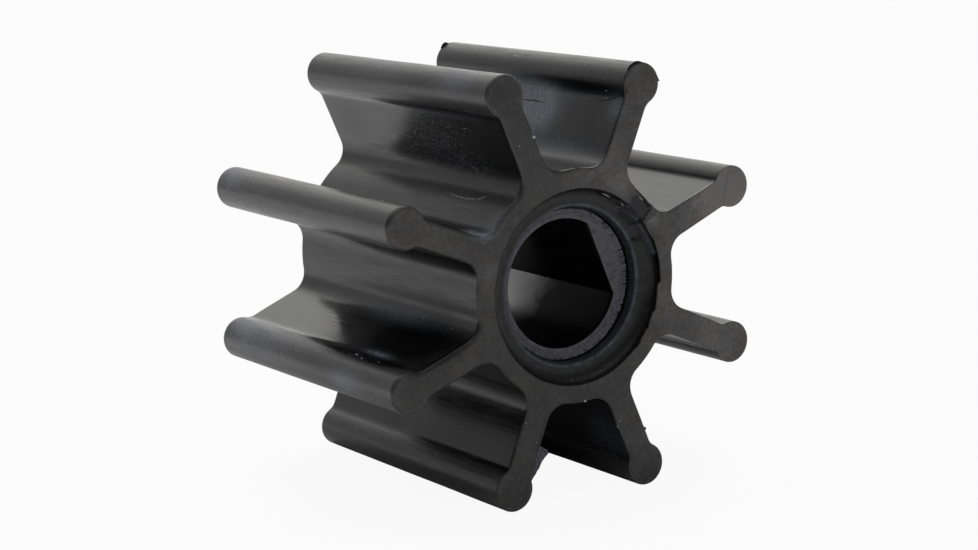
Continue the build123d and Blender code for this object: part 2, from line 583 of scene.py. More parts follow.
def damaged(spots):
    """Which (x, z) spots lie in the torn part of the front, which needs finer triangles."""
    angle = np.degrees(np.arctan2(spots[:, 1], spots[:, 0]))
    return (angle > 30) & (angle < 58) & (np.hypot(*spots.T) < 14.3)


def fill_cap(maker, outer, inner, end):
    """Fills an end face between the vane outline and the recess edge with small triangles."""
    points = np.vstack(maker.points)
    outer_xz, inner_xz = points[outer][:, [0, 2]], points[inner][:, [0, 2]]
    grain = FRONT_GRAIN if end < 0 else REAR_GRAIN
    spots = honeycomb(grain, -30, 30)
    if end < 0:
        fine = honeycomb(TORN_GRAIN, 5, 13)
        spots = np.vstack([spots[~damaged(spots)], fine[damaged(fine)]])
    shrunk_outer = outer_xz - outline.at(0.0 if end < 0 else 1.0)[1] * grain * 0.6
    edge = RECESS + 0.5 + grain * 0.5
    spots = spots[inside(spots, shrunk_outer) & (np.hypot(*(spots - RECESS_CENTRE).T) > edge)]
    x, z = spots.T
    height = end * (HALF_LENGTH + end_relief(x, z, end))
    torn = scar(x, z) * (end < 0)
    points = np.column_stack([x, height, z])
    new = maker.add(points, end=1 - torn, scar=torn, film=end_film(x, z), crack=0.45 * torn)
    n, m = len(outer), len(inner)
    coords = [Vector(p) for p in np.vstack([outer_xz, inner_xz, spots])]
    edges = [(i, (i + 1) % n) for i in range(n)] + [(n + i, n + (i + 1) % m) for i in range(m)]
    found, _, faces, source, *_ = geometry.delaunay_2d_cdt(coords, edges, [], 0, 1e-6)
    numbers = np.concatenate([outer, inner, new])
    match = [numbers[s[0]] for s in source]
    flat = np.array([tuple(v) for v in found])
    centres = np.array([flat[list(f)].mean(0) for f in faces])
    good = inside(centres, outer_xz) & ~inside(centres, inner_xz)
    for face in itertools.compress(faces, good):
        a, b, c = (flat[i] for i in face[:3])
        counter_clockwise = (b - a)[0] * (c - a)[1] - (b - a)[1] * (c - a)[0] > 0
        corners = [match[i] for i in face]
        maker.face(corners[::-1] if counter_clockwise == (end < 0) else corners)


def flank_rows():
    """(inset, y, along, end value) of each row of the outside, each an array round the outline."""
    front, rear = outline.front_edge, np.full(len(outline.out), REAR_EDGE)
    quarter = np.linspace(0, pi / 2, 6)
    rows = []
    for a in quarter:
        inset = 1 - sin(a)
        rows.append((front * inset, -HALF_LENGTH + front * (1 - cos(a)), 0, inset**0.45))
    steps = int(2 * HALF_LENGTH / FLANK_STEP)
    for share in (0.004, 0.009, *np.linspace(0.016, 0.984, steps), 0.991, 0.996):
        y = (-HALF_LENGTH + front) * (1 - share) + (HALF_LENGTH - rear) * share
        rows.append((0 * front, y, share, 0))
    for a in quarter[::-1]:
        inset = 1 - sin(a)
        rows.append((rear * inset, HALF_LENGTH - rear * (1 - cos(a)), 1, inset))
    return rows


def make_rubber(materials):
    """The rubber: outside, both ends with their recesses, and the hollow that holds the insert."""
    maker = MeshMaker()
    rows = []
    flank_only = np.where(outline.axis == 67.5, 1 - smooth(24.3, 24.9, outline.out), 1)
    for inset, y, along, end_value in flank_rows():
        xz, normal = outline.at(along)
        points = np.column_stack([xz[:, 0], y, xz[:, 1]])
        waves = 0.03 * wander(points, 9, 1) + 0.012 * wander(points * (1, 0.3, 1), 2.4, 5)
        x, z = (xz + normal * (waves - inset)[:, None]).T
        end = -1 if along < 0.5 else 1
        proud = end * end_value * end_relief(x, z, end)
        y = y + chip(x, z) * np.clip(1 - (y + HALF_LENGTH) / CHIP_REACH, 0, 1)
        wear = (outline.axis, outline.side, outline.out, y)
        # Bloom and painted highlights, grit, and painted shade on the vanes' sides
        rows.append(maker.add(
            np.column_stack([x, y + proud, z]),
            end=end_value, bulb=outline.bulb, root=outline.root, film=end_film(x, z),
            bloom=patches(BLOOM_AND_HIGHLIGHT, *wear) * flank_only, grit=patches(GRIT, *wear) * flank_only,
            crack=patches(PAINTED_SHADE, *wear),
        ))
    maker.sheet(rows)
    angles = np.arange(RUBBER_RING_STEPS) * 360 / RUBBER_RING_STEPS
    held = []
    for end in (-1, 1):
        rings = []
        for radius, depth, dish, bloom, crack in recess_rows(end, angles):
            points = ring(radius, 0, angles, RECESS_CENTRE)
            x, _, z = points.T
            relief = end_relief(x, z, end) + 0.03 * wander(points, 3, 6.0 * end) * dish
            points[:, 1] = end * (HALF_LENGTH - depth + relief)
            torn = worn_dish(x, z) * (end < 0)
            # Painted highlight along the torn lip in the recess
            light = 0.35 * near_path(x, z, TORN_LIP, 0.2) * (end < 0) * dish
            rings.append(maker.add(
                points, end=(1 - dish) * (1 - torn), dish=dish * (1 - torn), film=end_film(x, z),
                bloom=np.maximum(bloom, light), scar=torn, crack=np.maximum(crack, 0.45 * torn),
            ))
        maker.sheet(rings, flip=end > 0)
        fill_cap(maker, rows[0] if end < 0 else rows[-1], rings[0], end)
        held.append(rings[-1])
    maker.bridge(held[0], held[1])
    return maker.object("rubber_body", materials)


# Rows across an end face of the insert, as shares of the way from the rim to the bore
FACE_SHARES = (0, 0.06, 0.12, 0.2, 0.3, 0.42, 0.56, 0.7, 0.85, 1)


def make_insert(materials):
    """The insert: grooved outside, a rim with broken teeth, grained end faces and the D bore."""
    maker = MeshMaker()
    angles = np.arange(INSERT_RING_STEPS) * 360 / INSERT_RING_STEPS
    rim = ring(9.3, 0, angles)
    broken = smooth(-0.25, 0.5, wander(rim, 3.5, 8) + 0.35 * band(-125, 60, 15, turned(angles)))
    notch = smooth(0.05, 0.35, wander(rim, 0.22, 3)) * broken
    edge = bore_radius(angles, BORE_EDGE)
    sides = []
    for end in (-1, 1):
        rows = [(grooved_radius(angles), SHOULDER_DEPTH), (RIM, SHOULDER_DEPTH)]
        rows.append((RIM, RIM_DEPTH + 0.06 + 0.3 * notch))
        for share in FACE_SHARES:
            radius = (RIM - 0.05) * (1 - share) + edge * share
            spots = ring(radius, 0, angles)
            slope = (BORE_DEPTH - RIM_DEPTH) * smooth(RIM, RIM - 1.1, radius)
            cut = 0.28 * notch * (1 - smooth(0.06, 0.3, share))
            grain = (0.02 * wander(spots, 0.5, 2.0 * end) + 0.012 * wander(spots, 0.2)) * (share < 1)
            rows.append((radius, RIM_DEPTH + slope + cut + grain))
        mouth = len(rows)
        for a in np.linspace(0, pi / 2, 5)[1:]:
            grow = BORE_EDGE * (1 - sin(a))
            rows.append((bore_radius(angles, grow), BORE_DEPTH + BORE_EDGE * (1 - cos(a))))
        rows = [ring(radius, end * (HALF_LENGTH - depth), angles, BORE_CENTRE) for radius, depth in rows]
        sides.append([maker.add(points) for points in rows])
    inner = []
    bore_end = HALF_LENGTH - BORE_DEPTH - 0.8
    for y in np.linspace(-bore_end, bore_end, BORE_STEPS):
        radius = bore_radius(angles)
        points = ring(radius, y, angles, BORE_CENTRE)
        waves = 0.012 * wander(points * (1, 0.4, 1), 2.5, 11)
        points = points + points * (1, 0, 1) / BORE * waves[:, None]
        inner.append(maker.add(points, flat=radius < BORE - 0.02, deep=(y / HALF_LENGTH + 1) / 2))
    front, rear = sides
    maker.sheet(front[:mouth + 1], flip=True)
    maker.sheet(rear[:mouth + 1])
    maker.bridge(rear[0], front[0], flip=True)
    maker.material = 1
    maker.sheet(front[mouth:] + inner + rear[:mouth - 1:-1], flip=True)
    return maker.object("insert_body", materials, sharp=40)


# ---------------- flash, tears and grit

# Kinds of mark: near-black lines of painted shade in creases, grooves and along the flash; pale lines of
# painted highlight, and the fin painted as lit; white dust crumbs, and two lines of painted highlight on an
# edge; grit grains; and bright lines that are painted highlights on edges, creases and torn ridges, with
# pale scratches on one bulb
PAINTED_SHADE_LINE, PAINTED_HIGHLIGHT, DUST_AND_HIGHLIGHT, GRAIN, SHEEN = range(5)

# Distance between the rows of a mark on the vanes' sides, on the front and along an edge
SIDE_STEP, FRONT_STEP, EDGE_STEP = 0.25, 0.12, 0.15

# Marks along the vanes' sides: vane, side, width, height, kind, places (distance out, y)
SIDE_MARKS = (
    (112.5, 1, 0.16, 0.012, PAINTED_SHADE_LINE, ((21.2, 2.5), (21.5, -4.4), (21.5, -9.8), (21.8, -15.8), (21.8, -20.8))),
    (112.5, 1, 0.14, 0.01, PAINTED_HIGHLIGHT, ((21.3, -7.5), (21.6, -8.6), (21.5, -9.5))),
    (112.5, 1, 0.18, 0.02, PAINTED_HIGHLIGHT, ((21.5, -11.4), (21.75, -12.7), (21.3, -13.8))),
    (112.5, 1, 0.12, 0.01, PAINTED_SHADE_LINE, ((23, 1), (22.6, -5), (22.7, -11))),
    (112.5, 1, 0.26, 0.14, SHEEN, (
        (13.8, -7.7), (13.7, -8.9), (13.66, -10.2), (13.66, -11.9), (13.72, -13.4), (13.76, -14.4),
        (13.92, -15.2),
    )),
    (67.5, 1, 0.22, 0.012, PAINTED_SHADE_LINE, ((21.6, 1), (21.7, -2.1), (21.75, -3.4), (21.6, -5.3))),
    (67.5, 1, 0.26, 0.014, PAINTED_SHADE_LINE, (
        (22.85, -15.6), (22.9, -17), (23.1, -18.3), (23.4, -19.3), (24, -20.4), (24.5, -21.1),
    )),
    (67.5, 1, 0.2, 0.05, SHEEN, (
        (27, 5.2), (27.2, 4.3), (27.1, 3.2), (27.1, 2.2), (27.35, 1.4), (27.55, 0.4),
    )),
    (67.5, 1, 0.14, 0.04, SHEEN, ((27.5, 2), (27.45, 1.2))),
    (157.5, -1, 0.34, 0.04, SHEEN, ((17.6, -21), (16.8, -20.9), (15.5, -20.85), (14.6, -21))),
    # Two lines of painted highlight along a front edge, in the white dust material
    (22.5, 1, 0.24, 0.04, DUST_AND_HIGHLIGHT, ((14.2, -21.1), (15, -21.1), (16, -21.12))),
    (22.5, 1, 0.26, 0.05, DUST_AND_HIGHLIGHT, ((17.5, -21.1), (19.5, -21.08), (21.5, -21.08), (23.4, -21.05), (24, -21))),
    (67.5, 1, 0.24, 0.04, SHEEN, ((13.45, -21.15), (13.6, -21.15), (14.1, -21.15), (15, -21.2))),
    (112.5, -1, 0.24, 0.04, SHEEN, ((13.45, -21.15), (13.6, -21.15), (14.1, -21.15))),
    (247.5, -1, 0.14, 0.015, PAINTED_HIGHLIGHT, ((17.6, -21.2), (19.5, -21.2), (22, -21.2))),
    (157.5, 1, 0.2, 0.01, PAINTED_SHADE_LINE, ((14, 6.3), (13.95, 1.3), (14, -4))),
)

# Marks on the front: width, height, kind, places (x, z)
FRONT_MARKS = (
    (0.13, 0.012, PAINTED_SHADE_LINE, ((23.47, 12.26), (23.2, 10.8), (22.85, 9.2), (22.63, 7.63))),
    (0.14, 0.05, SHEEN, ((6.24, -17.44), (6.05, -17.7), (5.87, -17.89))),
    (0.16, 0.04, SHEEN, ((5.6, -18.2), (5.7, -18.4), (5.75, -18.62))),
    (0.2, 0.02, PAINTED_SHADE_LINE, ((9.67, 10.15), (10.17, 9.8), (10.67, 9.34), (10.85, 9.1))),
    (0.16, 0.06, SHEEN, ((9.4, 10.1), (9.75, 9.8), (10.05, 9.55))),
    (0.2, 0.05, PAINTED_SHADE_LINE, ((9.5, 7.35), (9.72, 7), (9.95, 6.7))),
    (0.14, 0.03, PAINTED_SHADE_LINE, ((4.9, 11), (5.6, 10.75), (6.1, 10.45))),
    (0.16, 0.03, PAINTED_SHADE_LINE, ((6.4, 10.1), (7, 9.8), (7.6, 9.4))),
    (0.2, 0.06, SHEEN, ((7.15, 9.45), (7.5, 9.15), (7.8, 8.9))),
    (0.15, 0.06, SHEEN, ((4.3, 10.95), (5, 10.65), (5.6, 10.3))),
    (0.3, 0.05, PAINTED_HIGHLIGHT, ((10.6, 7), (11.2, 7.3), (11.85, 7.6))),
)

# Flash standing off the edges: end, vane, places (side, distance out, height)
FLASH_WIDTH = 0.3
FLASH_INSET = 0.16
FLASH_SUNK = 0.05
FLASH = (
    (1, 67.5, ((2.4, 27, 0.05), (2.2, 27.4, 0.22), (1.9, 27.75, 0.26), (1.5, 28.05, 0))),
    (-1, 67.5, (
        (2.48, 26.91, 0.12), (2.15, 27.45, 0.28), (1.72, 27.9, 0.3), (1.2, 28.25, 0.2), (0.68, 28.48, 0),
    )),
    (-1, 67.5, ((-1.2, 28.3, 0), (-1.8, 27.85, 0.05), (-2.25, 27.3, 0.14), (-2.42, 27.05, 0.32))),
    (-1, 292.5, ((1.72, 21.2, 0), (1.73, 21.55, 0.25), (1.74, 21.75, 0.4), (1.75, 21.95, 0.05))),
    (-1, 292.5, ((1.8, 15.6, 0), (1.76, 16, 0.14), (1.75, 16.4, 0))),
)

# Dust and crumbs: vane and side, then each distance out, y and size
SIDE_CRUMBS = (
    ((202.5, -1), (
        (25, -8.8, 0.26), (25.3, -9.6, 0.18), (25.6, -11, 0.18), (25.25, -14.4, 0.13), (28, 15.6, 0.16),
        (27.4, 11.2, 0.12), (27.8, -18.8, 0.17), (15.2, -9.3, 0.17), (14.9, -9.9, 0.16),
        (15.4, -16.2, 0.18), (15.35, -17.4, 0.14),
    )),
    ((157.5, 1), ((28.6, 18.1, 0.16), (28.6, 14.3, 0.13), (27.15, 10.2, 0.13))),
    ((112.5, 1), ((13.6, 10.6, 0.15),)),
    ((157.5, -1), ((26.98, -16, 0.14),)),
    ((112.5, 1), ((28.5, 7.2, 0.15), (28.3, 3.7, 0.18), (27.6, 5, 0.12))),
    ((67.5, 1), ((23.2, -17.6, 0.13), (24.1, -17.5, 0.15))),
    ((112.5, 1), ((15.6, -12.8, 0.16), (16, -11.6, 0.14), (16.2, -10.7, 0.15))),
)

# Crumbs on the front: x, z, size
FRONT_CRUMBS = (
    (-6.15, 18.82, 0.44), (-8.18, 17.93, 0.2), (0.73, -14.36, 0.32), (-6.55, -18.39, 0.14),
    (-8.05, -15.75, 0.15), (-0.37, -11.76, 0.13), (0.67, -12.42, 0.12), (3.9, -11.2, 0.12),
    (11.6, 0.3, 0.12),
)

# Clouds of fine grit: vane, side, distance out, y, reach outward, reach along, grains, size
GRIT_CLOUDS = (
    (112.5, 1, 18.4, -5, 1.5, 3.6, 230, 0.1),
    (112.5, 1, 16.7, -9.5, 0.6, 2.4, 60, 0.12),
    (112.5, 1, 21.2, -9, 0.8, 3, 50, 0.1),
    (67.5, 1, 21.8, -2, 1.6, 3, 60, 0.08),
    (157.5, -1, 27, 17.5, 1, 2.5, 30, 0.1),
    (202.5, -1, 27.2, 12, 0.9, 6, 50, 0.1),
    (202.5, -1, 25.2, -9.6, 0.3, 1.2, 22, 0.1),
    (157.5, -1, 14.4, -7, 0.6, 5, 36, 0.09),
)

# Fin of flash beside a vane's neck, coloured pale as painted light on its lit face: its corners (x, z), its
# distance behind the front, and its thickness
FIN = (
    (-6.9, -19.3), (-6.4, -18.9), (-5.6, -19.2), (-4.8, -19.7), (-4.62, -20.1), (-5.2, -20.56),
    (-5.64, -21), (-5.85, -21.35), (-6.08, -21.79), (-6.4, -22.1), (-6.61, -22.43), (-6.96, -22.8),
    (-7.23, -23.19), (-7.75, -22.9), (-7.3, -21),
)
FIN_INSET = 0.25
FIN_THICKNESS = 0.5


def dish_depth(x, z):
    """Depth of the front surface below the hub face at one place."""
    radius = hypot(x - RECESS_CENTRE[0], z - RECESS_CENTRE[1])
    if radius > RECESS:
        return 0.0
    inward = min((RECESS - radius) / DISH_REACH, 1)
    return STEEP_WALL_TOP + (DISH_DEPTH - STEEP_WALL_TOP) * sqrt(1 - (1 - inward) ** 2)


def on_front(x, z):
    """Place and outward normal on the front surface."""
    proud = float(end_relief(np.array([x]), np.array([z]), -1)[0])
    return Vector((x, -HALF_LENGTH + dish_depth(x, z) - proud, z)), Vector((0, -1, 0))


def finer(places, step):
    """Points along the path through some points, about step apart."""
    places = np.array(places, float)
    length = np.concatenate([[0], np.cumsum(np.linalg.norm(np.diff(places, axis=0), axis=1))])
    at = np.linspace(0, length[-1], max(6, int(length[-1] / step)))
    return np.column_stack([np.interp(at, length, places[:, k]) for k in range(places.shape[1])])


def tapered(count):
    """Shares along a mark that runs out thin at both ends."""
    return np.sin(np.linspace(0.05, pi - 0.05, count)) ** 0.5


def add_ridge(maker, skin, widths, heights, seed):
    """A closed strip with a ridge, along (point, outward normal) pairs, its foot under the skin."""
    rings = []
    last = len(skin) - 1
    for k, (point, normal) in enumerate(skin):
        ahead = skin[min(k + 1, last)][0] - skin[max(k - 1, 0)][0]
        across = ahead.cross(normal).normalized()
        wobble = noise.noise(point * 2.1 + Vector((seed, 0, 0)))
        half = across * (widths[k] * (1 + 0.5 * wobble) / 2)
        crest = point + normal * (heights[k] * (1 + 0.4 * wobble)) + half * 0.3 * wobble
        sunk = normal * 0.015
        rings.append(maker.add([point - half - sunk, crest, point + half - sunk, point - normal * 0.05]))
    maker.sheet(rings)
    maker.face(rings[0])
    maker.face(rings[-1][::-1])


def add_crumb(maker, point, normal, size, seed):
    """A small uneven grain half sunk in the skin, made from an icosahedron with corners 2 apart."""
    draw = random.Random(seed)
    golden = (1 + sqrt(5)) / 2
    pairs = itertools.product((-1, 1), (-golden, golden))
    corners = [Vector(c) for a, b in pairs for c in ((0, a, b), (a, b, 0), (b, 0, a))]
    turn = Matrix.Rotation(draw.uniform(0, 6.3), 3, normal)
    numbers = maker.add([
        point + turn @ (c.normalized() * size / 2 * draw.uniform(0.6, 1.25)) for c in corners
    ])
    for a, b, c in itertools.combinations(range(12), 3):
        to_b, to_c = corners[b] - corners[a], corners[c] - corners[a]
        if max(to_b.length, to_c.length, (to_b - to_c).length) < 2.1:
            outward = to_b.cross(to_c).dot(corners[a]) > 0
            maker.face([numbers[k] for k in ((a, b, c) if outward else (a, c, b))])


def flash_skin(end, axis, spots):
    """Places along an edge of a vane's end, each with its direction out from the bulb or web."""
    for side, out, _ in spots:
        beyond = out - TIP_CENTRE if out > TIP_CENTRE - TIP_BULB else 0
        x, z = beside(radians(axis), out, side)
        normal_x, normal_z = beside(radians(axis), beyond, side)
        normal = Vector((normal_x, 0, normal_z)).normalized()
        yield Vector((x, end * (HALF_LENGTH - FLASH_INSET), z)) - normal * FLASH_SUNK, normal


def make_marks(materials):
    """Flash, ridges, lines of painted shade and painted highlight, the fin and the grit, all as one piece.
    """
    maker = MeshMaker()
    seeds = itertools.count(1)
    for axis, sign, width, height, kind, path in SIDE_MARKS:
        maker.material = kind
        seed = next(seeds)
        skin = []
        for out, y in finer(path, SIDE_STEP):
            drift = 0.05 * noise.noise(Vector((y * 1.3, seed, 0)))
            skin.append(outline.skin(axis, out + drift, sign, y))
        taper = tapered(len(skin))
        add_ridge(maker, skin, width * taper, height * taper, seed)
    for width, height, kind, path in FRONT_MARKS:
        maker.material = kind
        skin = [on_front(x, z) for x, z in finer(path, FRONT_STEP)]
        taper = tapered(len(skin))
        add_ridge(maker, skin, width * taper, height * taper, next(seeds))
    maker.material = PAINTED_SHADE_LINE
    for end, axis, path in FLASH:
        spots = finer(path, EDGE_STEP)
        skin = list(flash_skin(end, axis, spots))
        add_ridge(maker, skin, np.full(len(skin), FLASH_WIDTH), FLASH_SUNK + spots[:, 2], next(seeds))
    maker.material = PAINTED_HIGHLIGHT
    front = maker.add([(x, -HALF_LENGTH + FIN_INSET, z) for x, z in FIN])
    back = maker.add([(x, -HALF_LENGTH + FIN_INSET + FIN_THICKNESS, z) for x, z in FIN])
    maker.bridge(front, back, flip=True)
    maker.face(front[::-1])
    maker.face(back)
    maker.material = DUST_AND_HIGHLIGHT
    for (axis, sign), crumbs in SIDE_CRUMBS:
        for out, y, size in crumbs:
            add_crumb(maker, *outline.skin(axis, out, sign, y), size, next(seeds))
    for x, z, size in FRONT_CRUMBS:
        add_crumb(maker, *on_front(x, z), size, next(seeds))
    maker.material = GRAIN
    draw = random.Random(5)
    for axis, sign, out, y, reach_out, reach_along, grains, size in GRIT_CLOUDS:
        for seed in itertools.islice(seeds, grains):
            grain_out, grain_y = draw.gauss(out, reach_out), draw.gauss(y, reach_along)
            scale = size * draw.uniform(0.5, 1.3)
            if abs(grain_y) < HALF_LENGTH - 0.5:
                point, normal = outline.skin(axis, grain_out, sign, grain_y)
                add_crumb(maker, point - normal * scale * 0.2, normal, scale, seed)
    return maker.object("rubber_marks", materials)


# ---------------- materials

class Graph:
    """Short ways to add nodes. A value is a number, a tuple or another node's output."""

    def __init__(self, owner):
        owner.use_nodes = True
        self.tree = owner.node_tree
        self.nodes = self.tree.nodes

    def put(self, node, socket, value):
        """Sets an input, or links it to another node's output."""
        if isinstance(value, bpy.types.NodeSocket):
            self.tree.links.new(value, node.inputs[socket])
        else:
            node.inputs[socket].default_value = value

    def new(self, kind, output=0, inputs=None, **settings):
        """Adds a node, sets it up, and gives one of its outputs."""
        node = self.nodes.new("ShaderNode" + kind)
        for name, setting in settings.items():
            setattr(node, name, setting)
        for socket, value in (inputs or {}).items():
            self.put(node, socket, value)
        return node.outputs[output]

    def math(self, operation, first, *others):
        """The operation between the first value and each of the others in turn."""
        for other in others:
            first = self.new("Math", inputs={0: first, 1: other}, operation=operation)
        return first

    def times(self, *values):
        return self.math("MULTIPLY", *values)

    def plus(self, *values):
        return self.math("ADD", *values)

    def most(self, *values):
        return self.math("MAXIMUM", *values)

    def ramp(self, value, low, high, start=0, stop=1):
        """Start where the value is low, stop where it is high, and a soft ramp between."""
        ends = {"From Min": low, "From Max": high, "To Min": start, "To Max": stop}
        return self.new("MapRange", inputs={"Value": value, **ends}, interpolation_type="SMOOTHSTEP")

    def tint(self, below, factor, colour):
        """Mixes a colour over what is below it."""
        below, colour = (c if isinstance(c, bpy.types.NodeSocket) else (*c, 1) for c in (below, colour))
        return self.new("Mix", "Result", {"Factor": factor, "A": below, "B": colour}, data_type="RGBA")


class Look(Graph):
    """A new material with the millimetre coordinates and noises that a surface needs."""

    def __init__(self, name):
        self.material = bpy.data.materials.new(name)
        super().__init__(self.material)
        self.shader = self.nodes["Principled BSDF"]
        self.mm = self.stretch(self.new("TexCoord", "Object"), (1 / MM, 1 / MM, 1 / MM))

    def stretch(self, vector, scale):
        return self.new("VectorMath", inputs={0: vector, 1: scale}, operation="MULTIPLY")

    def noise(self, scale, detail=3.0, rough=0.55, vector=None):
        """Noise around 0.5, with scale features in a millimetre."""
        inputs = {"Vector": vector or self.mm, "Scale": scale, "Detail": detail, "Roughness": rough}
        return self.new("TexNoise", "Fac", inputs)

    def layer(self, name):
        """Wear values stored on the mesh."""
        return self.new("Attribute", "Fac", attribute_name=name)

    def finish(self, colour, roughness, height):
        """Links colour, roughness and a height in millimetres to the shader."""
        bump = self.new("Bump", inputs={"Distance": MM, "Height": height})
        for socket, value in (("Base Color", colour), ("Roughness", roughness), ("Normal", bump)):
            self.put(self.shader, socket, value)
        return self.material


RUBBER_BLACK = (0.0012, 0.0014, 0.0020)
FILM_GREY = (0.216, 0.201, 0.184)
FILM_COOL = (0.196, 0.194, 0.198)
BLOOM_AND_HIGHLIGHT_BLUE = (0.270, 0.294, 0.352)
SCAR_BLUE = (0.0085, 0.0090, 0.0125)
GRIT_PALE = (0.40, 0.42, 0.46)

INSERT_DARK = (0.06, 0.058, 0.069)
INSERT_PALE = (0.205, 0.196, 0.232)
INSERT_SCRATCH = (0.03, 0.029, 0.035)
INSERT_STAIN = (0.016, 0.016, 0.019)

BORE_IOR = 2.4
BORE_BLACK = (0.0016, 0.0017, 0.0020)
BORE_SMEAR = (0.02, 0.02, 0.023)
BORE_BROWN = (0.016, 0.0155, 0.0115)
BORE_SPECK = (0.2, 0.2, 0.22)


def rubber_material():
    """Black rubber: grey film on the ends, bluish bloom and painted highlights, pale grit, and painted
    shade that dulls the cracks, gaps and shaded pockets.
    """
    g = Look("moulded_rubber")
    end, dish, bulb, root = (g.layer(name) for name in ("end", "dish", "bulb", "root"))
    crack, torn = g.layer("crack"), g.layer("scar")
    blotch, mottle, grain = g.noise(0.35), g.noise(1.3, 4), g.noise(6, 3, 0.65)
    along = g.stretch(g.mm, (1, 0.06, 1))
    streak, wide_streak = g.noise(3.2, 5, 0.6, along), g.noise(0.8, 4, 0.6, along)
    dirt = g.noise(2.6, 5, 0.7)
    # Painted shade takes away the film, the haze, the bulb film and the sheen
    outside_painted_shade = g.math("SUBTRACT", 1, crack)
    unshaded = g.math("SUBTRACT", bulb, crack)

    film = g.times(
        end, g.layer("film"), g.ramp(mottle, 0.3, 0.7, 0.82, 1.12), g.ramp(dirt, 0.32, 0.7, 0.82, 1.14),
        g.ramp(grain, 0.3, 0.72, 0.84, 1.1), outside_painted_shade,
    )
    # Bluish bloom and painted highlights
    bloom = g.times(g.layer("bloom"), g.ramp(dirt, 0.34, 0.66, 0.4, 1))
    haze = g.times(g.ramp(streak, 0.4, 0.75), g.ramp(blotch, 0.45, 0.65, 0, 0.03))
    haze = g.times(g.plus(haze, g.times(bulb, g.ramp(dirt, 0.45, 0.75, 0, 0.03))), outside_painted_shade)
    specks = g.ramp(g.noise(4.6, 2, 0.6), 0.60, 0.68)
    coarse = g.ramp(g.noise(2.2, 3, 0.6), 0.62, 0.68)
    grit = g.times(g.layer("grit"), g.most(specks, coarse))
    dust = g.times(g.ramp(g.noise(2.9, 2), 0.71, 0.77), 0.2)

    colour = RUBBER_BLACK
    smudges = g.tint(FILM_GREY, g.ramp(g.noise(0.5, 4, 0.6), 0.42, 0.66), FILM_COOL)
    for share, over in (
        (g.times(film, 0.5), smudges),
        (g.times(unshaded, g.ramp(mottle, 0.3, 0.7, 0.05, 0.13)), FILM_GREY),
        (g.times(dish, g.ramp(dirt, 0.4, 0.7, 0, 0.07)), FILM_GREY),
        (g.times(torn, 0.9), SCAR_BLUE),
        (haze, BLOOM_AND_HIGHLIGHT_BLUE),
        (bloom, BLOOM_AND_HIGHLIGHT_BLUE),
        (g.most(g.times(grit, 0.5), dust), GRIT_PALE),
    ):
        colour = g.tint(colour, share, over)

    rough = g.plus(
        g.ramp(streak, 0.3, 0.75, 0.12, 0.26), g.times(bulb, 0.14), g.times(root, 0.14),
        g.times(dish, g.ramp(mottle, 0.3, 0.7, 0.2, 0.34)), g.times(bloom, 0.25),
    )
    rough = g.most(rough, g.times(end, g.ramp(blotch, 0.3, 0.7, 0.5, 0.65)), g.times(torn, 0.33))
    # Reflection is turned down under the painted shade, and partly in the recess dish
    g.put(g.shader, "Specular IOR Level", g.ramp(g.most(crack, g.times(dish, 0.4)), 0, 1, 0.5, 0.03))
    g.put(g.shader, "Sheen Weight", g.times(unshaded, 0.12))

    faces = g.times(g.plus(g.times(grain, 0.016), g.times(dirt, 0.03)), g.most(end, g.times(bulb, 0.25)))
    sides = g.plus(g.times(streak, 0.002), g.times(wide_streak, 0.006), g.times(grain, 0.002))
    return g.finish(colour, rough, g.plus(faces, sides, g.times(grit, 0.03)))


def insert_face_material():
    """Grained black composite with faint slanting scratches."""
    g = Look("insert_composite_face")
    grain, mottle = g.noise(7, 4, 0.7), g.noise(1.2, 3)
    slanted = g.new("VectorRotate", inputs={"Vector": g.mm, "Angle": 0.6}, rotation_type="Y_AXIS")
    scratches = g.noise(1, 3, 0.6, g.stretch(slanted, (0.5, 1, 5)))
    colour = g.tint(INSERT_DARK, g.ramp(grain, 0.35, 0.7), INSERT_PALE)
    colour = g.tint(colour, g.ramp(scratches, 0.5, 0.7, 0, 0.6), INSERT_SCRATCH)
    colour = g.tint(colour, g.ramp(mottle, 0.52, 0.75, 0, 0.5), INSERT_STAIN)
    height = g.plus(g.times(grain, 0.05), g.times(scratches, 0.05))
    return g.finish(colour, g.ramp(mottle, 0.3, 0.7, 0.42, 0.6), height)


def insert_bore_material():
    """Black bore, glossy towards the rear; its reflection is turned down near the front and on the flat as
    painted shade.
    """
    g = Look("insert_composite_bore")
    flat = g.layer("flat")
    g.put(g.shader, "IOR", BORE_IOR)
    smear = g.noise(0.55, 5, 0.65, g.stretch(g.mm, (1, 0.5, 1)))
    mottle, fine = g.noise(1.4, 4, 0.65), g.noise(5, 3)
    # Painted shade: reflection turned down near the front and on the flat
    unshaded = g.ramp(g.plus(g.layer("deep"), g.times(smear, 0.16)), 0.44, 0.74, 0.02, 1)
    g.put(g.shader, "Specular IOR Level", g.times(unshaded, g.ramp(flat, 0, 1, 1, 0.04)))
    colour = g.tint(BORE_BLACK, g.ramp(smear, 0.5, 0.78, 0, 0.2), BORE_SMEAR)
    colour = g.tint(colour, g.times(flat, g.ramp(mottle, 0.44, 0.70, 0, 0.7)), BORE_BROWN)
    colour = g.tint(colour, g.ramp(fine, 0.72, 0.78, 0, 0.25), BORE_SPECK)
    rough = g.plus(g.ramp(smear, 0.4, 0.75, 0.3, 0.42), g.times(flat, 0.15))
    return g.finish(colour, rough, g.plus(g.times(fine, 0.002), g.times(mottle, flat, 0.03)))


def plain_material(name, colour, spread, roughness):
    """A mark's material: a colour that noise takes spread darker or lighter."""
    g = Look(name)
    grain = g.noise(4, 3, 0.6)
    dark, light = (tuple(c * share for c in colour) for share in (1 - spread, 1 + spread))
    return g.finish(g.tint(dark, g.ramp(grain, 0.35, 0.65), light), roughness, g.times(grain, 0.01))


# ---------------- camera, light and stage

